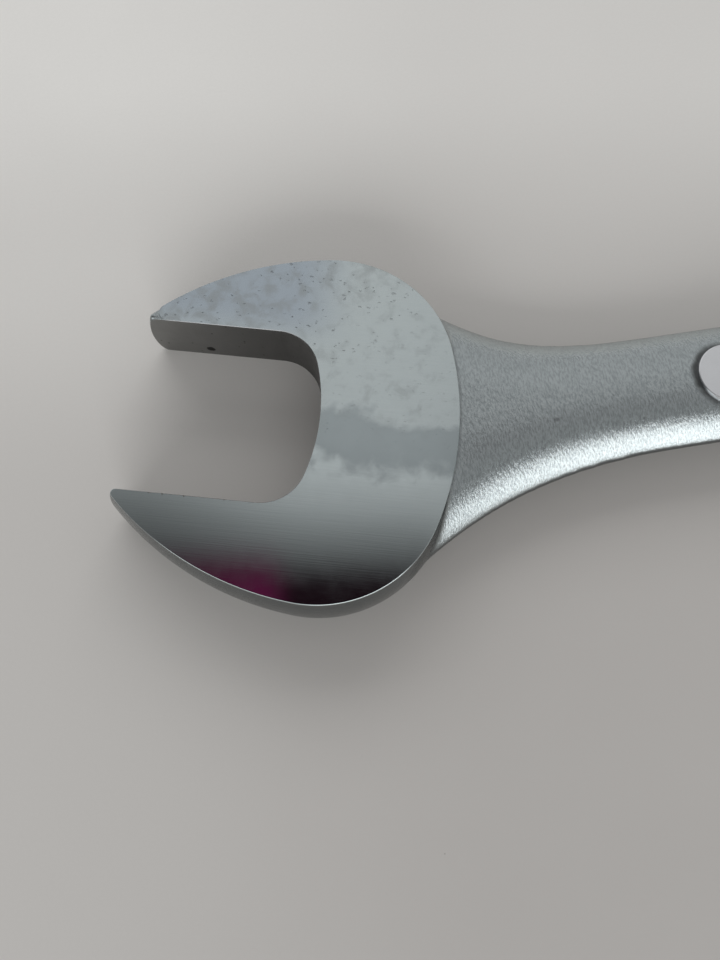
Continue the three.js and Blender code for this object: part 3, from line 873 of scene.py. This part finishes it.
def forged_chrome(nodes):
    """Chrome over a blasted forging: a fine slanted grain, with grime round the panel, painted shade along
    the neck's step on the head, and painted shade on the upright sides.
    """
    place = nodes.millimetres(shank_origin)
    grain_place = nodes.stretch(place, (4.6, 1.5, 2.4), math.radians(22))
    grain = nodes.noise(grain_place, 1.0, 3.0, 0.65)
    coarse = nodes.noise(place, 0.35, 3.0, 0.55)
    # Dirt in the corner round the panel: distance from its outline.
    x, y, _ = nodes.split(place)
    middle = (PANEL_START_X + PANEL_END_X) / 2
    straight = (PANEL_END_X - PANEL_START_X) / 2 - PANEL_HALF_WIDTH
    from_middle = nodes.math("ABSOLUTE", nodes.plus(x, -middle))
    past = nodes.math("MAXIMUM", nodes.plus(from_middle, -straight), 0.0)
    off_panel = nodes.plus(nodes.length(past, y), -PANEL_HALF_WIDTH)
    panel_dirt = nodes.fade(nodes.plus(off_panel, nodes.times(coarse, -1.4)), 0.4, -0.6)
    # Painted shade along the step where the neck meets the ground head: a dark line in its crease.
    _, _, neck, neck_radius = jaw_arcs()
    jaw_place = nodes.millimetres(jaw_centre, -JAW_TILT)
    u, v, _ = nodes.split(jaw_place)
    from_neck = nodes.length(nodes.plus(u, -float(neck[0])), v)
    painted_step_shade = nodes.fade(nodes.math("ABSOLUTE", nodes.plus(from_neck, -neck_radius)), 0.5, 0.1)
    # Grime round the panel, together with the painted shade along the neck's step.
    dirt_and_step_shade = nodes.math("MAXIMUM", nodes.times(panel_dirt, 0.8), nodes.times(painted_step_shade, 0.3))
    marks = nodes.specks(nodes.stretch(place, (0.6, 1.0, 1.0)), 0.3, 0.4, 0.12)
    dark = nodes.math("MAXIMUM", dirt_and_step_shade, nodes.times(marks, 0.4))
    clean = nodes.mix(coarse, (0.48, 0.53, 0.54), (0.56, 0.61, 0.62))
    grained = nodes.mix(nodes.fade(grain, 0.60, 0.35, 0.0, 0.8), clean, (0.36, 0.40, 0.41))
    # The upright sides of the head and shank are painted darker than the blasted faces: painted shade for
    # the shadowed floor they reflect.
    normal = nodes.split(nodes.make("NewGeometry", {}).outputs["Normal"])
    upright = nodes.fade(nodes.math("ABSOLUTE", normal[2]), 0.62, 0.3)
    painted_upright_shade = nodes.times(upright, nodes.fade(x, 205.0, 235.0, 0.85, 0.0))
    grained = nodes.mix(painted_upright_shade, grained, (0.15, 0.16, 0.16))
    colour = nodes.mix(dark, grained, (0.04, 0.037, 0.035))
    roughness = nodes.plus(nodes.fade(coarse, 0.3, 0.7, 0.18, 0.22), nodes.times(dirt_and_step_shade, 0.3))
    return colour, roughness, nodes.bump(grain, 0.07, nodes.bump(coarse, 0.02))


def ground_chrome(nodes):
    """The ground faces of the head and ring: bright, with a hazy film, pits and fine grinding lines."""
    place = nodes.millimetres(jaw_centre, -JAW_TILT)
    u, v, _ = nodes.split(place)
    cloud = nodes.noise(place, 0.13, 3.0, 0.5, 0.4)
    patches = nodes.noise(place, 0.45, 4.0, 0.55, 0.3)
    # A thick film above a wavy edge, a darker smear below it, then a thin film that ends further down.
    swell = nodes.fade(cloud, 0.25, 0.75, -2.0, 2.0)
    wavy = nodes.plus(v, nodes.plus(swell, nodes.fade(patches, 0.3, 0.7, -0.7, 0.7)))
    film = nodes.fade(wavy, 0.0, 3.4)
    smear = nodes.times(nodes.fade(wavy, 3.0, 0.6), nodes.fade(wavy, -6.2, -2.6))
    lower = nodes.times(nodes.fade(wavy, -2.0, -5.0), nodes.fade(v, -14.0, -9.0))
    smudge = nodes.times(nodes.fade(patches, 0.50, 0.72), nodes.fade(v, -2.0, 4.0))
    to_top_left = nodes.plus(v, nodes.times(u, -0.5))
    stain = nodes.times(nodes.fade(to_top_left, 12.0, 22.0), nodes.fade(patches, 0.4, 0.65))
    blue = nodes.times(nodes.fade(v, 9.0, 16.0), nodes.fade(u, 6.0, -4.0))
    wobble = nodes.make("TexNoise", {"Vector": place, "Scale": 1.6}).outputs["Color"]
    jitter = nodes.make("VectorMath", {0: wobble, 1: place}, operation="ADD").outputs[0]
    pitted = nodes.fade(nodes.plus(v, nodes.times(u, -0.6)), 4.0, 14.0, 0.2, 1.0)
    pitted = nodes.times(pitted, nodes.fade(v, -4.0, 0.0))
    small = nodes.specks(nodes.stretch(jitter, (1.0, 1.5, 1.0), 0.5), 1.1, 0.2, 0.5)
    large = nodes.specks(nodes.stretch(jitter, (1.0, 1.7, 1.0), -0.3), 0.6, 0.3, 0.35)
    pits = nodes.times(nodes.math("MAXIMUM", small, large), pitted)
    lines = nodes.noise(nodes.stretch(place, (0.10, 6.0, 1.0), JAW_TILT), 1.0, 3.0, 0.6)
    colour = nodes.mix(lines, (0.58, 0.65, 0.66), (0.65, 0.715, 0.72))
    colour = nodes.mix(nodes.times(blue, 0.8), colour, (0.43, 0.495, 0.565))
    colour = nodes.mix(nodes.times(smear, 0.8), colour, (0.36, 0.41, 0.425))
    colour = nodes.mix(nodes.times(smudge, 0.35), colour, (0.40, 0.44, 0.44))
    colour = nodes.mix(nodes.times(stain, 0.45), colour, (0.36, 0.385, 0.39))
    colour = nodes.mix(nodes.times(pits, 0.18), colour, (0.16, 0.16, 0.16))
    roughness = nodes.plus(nodes.times(film, 0.14), nodes.times(lower, 0.06))
    roughness = nodes.plus(nodes.plus(roughness, nodes.times(smear, 0.08)), nodes.times(pits, 0.12))
    roughness = nodes.plus(roughness, nodes.fade(patches, 0.3, 0.7, 0.05, 0.075))
    relief = nodes.bump(pits, -0.022, nodes.bump(lines, 0.0008))
    return colour, roughness, relief


def panel_chrome(nodes):
    """The raised panels: polished, with light scratches and a few specks."""
    place = nodes.millimetres(shank_origin)
    cloud = nodes.noise(place, 0.5, 3.0)
    scratch = nodes.noise(nodes.stretch(place, (0.5, 9.0, 1.0), math.radians(12)), 1.0, 4.0, 0.7)
    specks = nodes.specks(place, 0.6, 0.15, 0.2)
    colour = nodes.mix(cloud, (0.87, 0.885, 0.91), (0.93, 0.945, 0.97))
    colour = nodes.mix(nodes.times(specks, 0.5), colour, (0.2, 0.2, 0.2))
    return colour, nodes.fade(scratch, 0.3, 0.8, 0.16, 0.26), nodes.bump(scratch, 0.002)


def broached_steel(nodes):
    """The jaw's flats and throat: matt grey, with tool lines from face to face, and painted light towards
    the tips.
    """
    place = nodes.millimetres(jaw_centre, -JAW_TILT)
    lines = nodes.noise(nodes.stretch(place, (4.0, 4.0, 0.25)), 1.0, 3.0, 0.6)
    cloud = nodes.noise(place, 0.5, 4.0, 0.6)
    pits = nodes.specks(place, 0.9, 0.2, 0.25)
    offset = nodes.make("VectorMath", {0: place, 1: GOUGE}, operation="SUBTRACT").outputs[0]
    ragged = nodes.times(nodes.noise(place, 1.6, 2.0), 0.5)
    from_gouge = nodes.make("VectorMath", {0: offset}, operation="LENGTH").outputs["Value"]
    gouge = nodes.fade(nodes.plus(from_gouge, ragged), 0.95, 0.75)
    pits = nodes.math("MAXIMUM", nodes.times(pits, 0.7), nodes.times(gouge, 0.95))
    colour = nodes.mix(cloud, (0.125, 0.123, 0.12), (0.225, 0.225, 0.22))
    # Paler towards the jaw's tips: painted light, as the slot's open end gets more light than its shaded
    # throat.
    painted_tip_light = nodes.fade(nodes.split(place)[0], -4.0, -22.0, 0.0, 0.5)
    colour = nodes.mix(painted_tip_light, colour, (0.38, 0.38, 0.37))
    colour = nodes.mix(pits, colour, (0.01, 0.01, 0.01))
    return colour, nodes.fade(cloud, 0.3, 0.7, 0.42, 0.56), nodes.bump(lines, 0.006)


def machined_steel(nodes):
    """Turned and milled steel inside the ring, with rings left by the tool."""
    place = nodes.millimetres(ring_centre)
    rings = nodes.noise(nodes.stretch(place, (0.2, 0.2, 6.0)), 1.0, 3.0, 0.6)
    cloud = nodes.noise(place, 0.6, 3.0)
    colour = nodes.mix(cloud, (0.34, 0.35, 0.36), (0.46, 0.47, 0.48))
    return colour, nodes.fade(cloud, 0.3, 0.7, 0.3, 0.42), nodes.bump(rings, 0.006)


def gear_chrome(nodes):
    """Satin plating over a turned gear, worn brighter in patches."""
    place = nodes.millimetres(ring_centre)
    x, y, z = nodes.split(place)
    radius = nodes.length(x, y)
    unrolled = nodes.make("CombineXYZ", {0: nodes.times(radius, 7.0), 1: nodes.times(z, 5.0)})
    rings = nodes.noise(unrolled.outputs[0], 1.0, 3.0, 0.6)
    cloud = nodes.noise(place, 0.4, 4.0, 0.6)
    colour = nodes.mix(cloud, (0.48, 0.50, 0.51), (0.60, 0.62, 0.63))
    return colour, nodes.fade(cloud, 0.3, 0.7, 0.2, 0.34), nodes.bump(rings, 0.005)


def pawl_steel(nodes):
    """Plain hardened steel with a milled grain."""
    place = nodes.millimetres(ring_centre)
    lines = nodes.noise(nodes.stretch(place, (6.0, 0.5, 6.0)), 1.0, 3.0, 0.6)
    cloud = nodes.noise(place, 0.8, 4.0)
    colour = nodes.mix(cloud, (0.28, 0.28, 0.29), (0.42, 0.42, 0.43))
    return colour, nodes.fade(cloud, 0.3, 0.7, 0.34, 0.5), nodes.bump(lines, 0.004)


def spring_steel(nodes):
    """Drawn wire: fine lines and a faint straw tint."""
    place = nodes.millimetres(ring_centre)
    cloud = nodes.noise(place, 2.0, 4.0)
    fine = nodes.noise(place, 12.0, 2.0)
    colour = nodes.mix(cloud, (0.40, 0.39, 0.36), (0.50, 0.50, 0.50))
    return colour, nodes.fade(cloud, 0.3, 0.7, 0.25, 0.4), nodes.bump(fine, 0.002)


def black_spring_steel(nodes):
    """Blackened spring steel, rubbed grey in patches."""
    place = nodes.millimetres(ring_centre)
    cloud = nodes.noise(place, 0.9, 5.0, 0.65)
    fine = nodes.noise(place, 8.0, 2.0)
    rubbed = nodes.fade(cloud, 0.52, 0.68)
    colour = nodes.mix(rubbed, (0.045, 0.045, 0.05), (0.20, 0.20, 0.21))
    return colour, nodes.fade(rubbed, 0.0, 1.0, 0.5, 0.34), nodes.bump(fine, 0.004)


# ---- Stage ----
VIEW_TURN = math.radians(9.118)  # how far the top of the picture is turned from +Y towards +X
VIEW_LEAN = math.radians(16.8)  # how far the camera looks away from straight down
CAMERA_BACK = 45.0  # from the jaw's centre, in millimetres
CAMERA_HEIGHT = 125.8
CAMERA_LENS = 36.975  # on a 36 mm sensor
PICTURE_UP = Vector((math.sin(VIEW_TURN), math.cos(VIEW_TURN), 0))
PICTURE_RIGHT = Vector((math.cos(VIEW_TURN), -math.sin(VIEW_TURN), 0))
UP = Vector((0, 0, 1))
FLOOR_SIZE = 3.0  # in metres
FLOOR_CLEARANCE = 0.03  # below the jaw, in millimetres


def add_camera():
    camera = bpy.data.objects.new("camera", bpy.data.cameras.new("camera"))
    bpy.context.scene.collection.objects.link(camera)
    forward = math.sin(VIEW_LEAN) * PICTURE_UP - math.cos(VIEW_LEAN) * UP
    top = math.cos(VIEW_LEAN) * PICTURE_UP + math.sin(VIEW_LEAN) * UP
    camera.matrix_world = Matrix((PICTURE_RIGHT, top, -forward)).transposed().to_4x4()
    camera.location = jaw_centre + Vector((0, -CAMERA_BACK, CAMERA_HEIGHT)) * MM
    camera.data.lens = CAMERA_LENS
    camera.data.sensor_width = 36
    camera.data.clip_start = 0.005
    camera.data.clip_end = 20
    bpy.context.scene.camera = camera


def floor_material(centre):
    """A pale, warm tabletop with fine mottling and a few dark specks, with painted light that makes it
    lighter to the left and far side.
    """
    material = bpy.data.materials.new("tabletop")
    nodes = Nodes(material)
    surface = nodes.tree.nodes["Principled BSDF"]
    place = nodes.millimetres(centre)
    mottle = nodes.noise(place, 0.05, 3.0)
    grain = nodes.noise(place, 2.2, 3.0, 0.7)
    large_specks = nodes.specks(place, 0.07, 0.3, 0.25)
    specks = nodes.math("MAXIMUM", large_specks, nodes.specks(place, 0.22, 0.16, 0.08))
    x, y, _ = nodes.split(nodes.stretch(place, (1.0, 1.0, 1.0), VIEW_TURN))
    # Painted light and shade: lighter to the left and towards the far side, darker to the right and the
    # near side.
    painted_far_light = nodes.plus(nodes.fade(y, -10.0, 30.0, 0.0, 0.36), nodes.fade(y, 30.0, 65.0, 0.0, 0.36))
    painted_lightness = nodes.plus(nodes.fade(x, 30.0, -45.0, 0.0, 0.27), painted_far_light)
    # Away from the jaw the painted light fades out and the tabletop goes back to one even tone.
    from_jaw = nodes.make("VectorMath", {0: place}, operation="LENGTH").outputs["Value"]
    near_jaw = nodes.fade(from_jaw, 260.0, 85.0)
    even_tone = nodes.times(nodes.math("SUBTRACT", 1.0, near_jaw), 0.5)
    painted_lightness = nodes.plus(nodes.times(painted_lightness, near_jaw), even_tone)
    pale = nodes.mix(painted_lightness, (0.515, 0.495, 0.475), (0.925, 0.915, 0.885))
    pale = nodes.mix(nodes.times(mottle, 0.2), pale, (0.66, 0.65, 0.63))
    pale = nodes.mix(nodes.times(grain, 0.12), pale, (0.45, 0.44, 0.43))
    nodes.feed(surface.inputs["Base Color"], nodes.mix(nodes.times(specks, 0.6), pale, (0.12, 0.11, 0.10)))
    nodes.feed(surface.inputs["Roughness"], 0.6)
    nodes.feed(surface.inputs["Specular IOR Level"], 0.3)
    nodes.feed(surface.inputs["Normal"], nodes.bump(grain, 0.01))
    return material


def add_floor():
    """A floor under the jaw's tips and the ring's nose, so it slopes a little to the ring."""
    jaw_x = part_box("wrench_body")[0].x
    nose_x = ring_centre.x - (NOSE_RADIUS - RING_EDGE_RADIUS) * MM
    drop = (RING_HALF - JAW_HALF) * MM
    slope = math.atan2(drop, nose_x - jaw_x)
    edit = bmesh.new()
    bmesh.ops.create_grid(edit, x_segments=2, y_segments=2, size=FLOOR_SIZE)
    mesh = bpy.data.meshes.new("floor")
    edit.to_mesh(mesh)
    edit.free()
    floor = bpy.data.objects.new("floor", mesh)
    bpy.context.scene.collection.objects.link(floor)
    level = -(JAW_HALF + FLOOR_CLEARANCE) * MM
    floor.matrix_world = Matrix.Translation((jaw_x, 0, level)) @ Matrix.Rotation(slope, 4, "Y")
    mesh.materials.append(floor_material(jaw_centre - floor.location))


def add_softbox(name, toward, distance, width, height, power, aim):
    """A rectangular light facing aim from a distance, seen neither by the camera nor in the metal."""
    light = bpy.data.lights.new(name, "AREA")
    light.shape = "RECTANGLE"
    light.size = width
    light.size_y = height
    light.energy = power
    softbox = bpy.data.objects.new(name, light)
    bpy.context.scene.collection.objects.link(softbox)
    toward = toward.normalized()
    softbox.rotation_euler = toward.to_track_quat("Z", "Y").to_euler()
    softbox.location = aim + toward * distance
    softbox.visible_camera = False
    softbox.visible_glossy = False


# Brightness of the room as metal reflects it, against how far ahead a ray points: -1 is towards the
# near side of the picture, 0 straight up and 1 towards the far side.
ROOM = [
    (-1.0, 2.15),
    (-0.64, 2.15),
    (-0.54, 0.30),
    (0.05, 0.32),
    (0.12, 0.004),
    (0.19, 0.004),
    (0.208, 0.10),
    (0.25, 0.31),
    (0.275, 0.48),
    (0.30, 0.60),
    (1.0, 0.60),
]
# The same further out to the right and left, where there is no dark strip.
ROOM_BESIDE = [
    (-1.0, 2.15),
    (-0.64, 2.15),
    (-0.54, 0.33),
    (0.05, 0.35),
    (0.30, 0.42),
    (0.44, 0.53),
    (0.60, 0.48),
    (1.0, 0.46),
]


def add_surroundings():
    """A soft grey room for the floor; metal sees a bright near side, a dark strip and a pale far side."""
    world = bpy.data.worlds.new("room")
    bpy.context.scene.world = world
    nodes = Nodes(world)
    direction = nodes.make("TexCoord", {}).outputs["Generated"]

    def along(axis):
        product = nodes.make("VectorMath", {0: direction, 1: tuple(axis)}, operation="DOT_PRODUCT")
        return product.outputs["Value"]

    def bands(levels):
        """The levels as a colour ramp; a ramp holds no more than 1, so it is scaled up afterwards."""
        brightest = max(level for _, level in levels)
        ramp = nodes.make("ValToRGB", {0: nodes.math("MULTIPLY_ADD", ahead, 0.5, 0.5)})
        points = ramp.color_ramp.elements
        while len(points) < len(levels):
            points.new(0.5)
        # Every point is placed first, and then coloured in order.
        for point, (place, _) in zip(points, levels):
            point.position = (place + 1) / 2
        for point, (_, level) in zip(points, levels):
            point.color = (level / brightest,) * 3 + (1,)
        scaled = nodes.make("VectorMath", {0: ramp.outputs[0], 1: (brightest,) * 3}, operation="MULTIPLY")
        return scaled.outputs[0]

    ahead = along(PICTURE_UP)
    aside = along(PICTURE_RIGHT)
    beside = nodes.math("MAXIMUM", nodes.fade(aside, 0.07, 0.12), nodes.fade(aside, -0.26, -0.40))
    room = nodes.mix(beside, bands(ROOM), bands(ROOM_BESIDE))
    # A pink thing over the left end of the dark strip, with a faint trace of it along the rest.
    overhead = nodes.times(nodes.fade(ahead, 0.04, 0.08), nodes.fade(ahead, 0.235, 0.17))
    pink_span = nodes.times(nodes.fade(aside, -0.065, -0.10, 0.06, 1.0), nodes.fade(aside, -0.26, -0.17))
    pink = nodes.times(overhead, pink_span)
    reflected = nodes.mix(pink, room, (0.12, 0.010, 0.052))
    # The room is darker to the left, except far ahead.
    left = nodes.times(nodes.fade(aside, -0.03, -0.24), nodes.fade(ahead, 0.42, 0.28))
    reflected = nodes.mix(nodes.times(left, 0.5), reflected, (0.0, 0.0, 0.0))
    soft = nodes.fade(ahead, -1.0, 1.0, 0.28, 0.42)
    # Light that comes off the metal onto the floor is the soft kind too.
    path = nodes.make("LightPath", {}).outputs
    metal_sees = nodes.times(path["Is Glossy Ray"], nodes.math("LESS_THAN", path["Diffuse Depth"], 0.5))
    nodes.feed(nodes.tree.nodes["Background"].inputs["Color"], nodes.mix(metal_sees, soft, reflected))


def add_stage():
    add_camera()
    add_floor()
    add_surroundings()
    aim = jaw_centre + Vector((20, 0, 0)) * MM
    near = -PICTURE_UP * 0.85 - PICTURE_RIGHT * 0.15 + UP * 0.45
    far = PICTURE_UP * 0.80 - PICTURE_RIGHT * 0.10 + UP * 0.60
    add_softbox("near_softbox", near, distance=2.6, width=2.4, height=1.0, power=32.0, aim=aim)
    add_softbox("far_softbox", far, distance=2.4, width=2.8, height=1.2, power=22.4, aim=aim)
    bpy.context.scene.view_settings.view_transform = "Standard"


# ---- Assembly ----


def build():
    recipes = [forged_chrome, ground_chrome, panel_chrome, broached_steel, machined_steel]
    body_materials = [metal(name, recipe) for name, recipe in zip(SLOT_NAMES, recipes)]
    gear_metal = metal("gear_chrome", gear_chrome)
    pawl_metal = metal("pawl_steel", pawl_steel)
    wire_metal = metal("spring_steel", spring_steel)
    clip_metal = metal("black_spring_steel", black_spring_steel)
    body = wrench_body()
    finished(body, "forging_surface", "forging", "wrench_body", body_materials)
    finished(ratchet_gear(), "gear_surface", "gear", "ratchet_gear", [gear_metal])
    finished(pawl(), "pawl_surface", "pawl", "pawl", [pawl_metal])
    clip = retaining_ring()
    finished(
        clip, "retaining_ring_surface", "forging", "retaining_ring", [clip_metal]
    )
    coil = pawl_spring()
    finished(coil, "pawl_spring_coil", "forging", "pawl_spring", [wire_metal])
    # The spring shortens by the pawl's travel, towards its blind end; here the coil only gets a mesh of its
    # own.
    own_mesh(coil)


build()
add_stage()
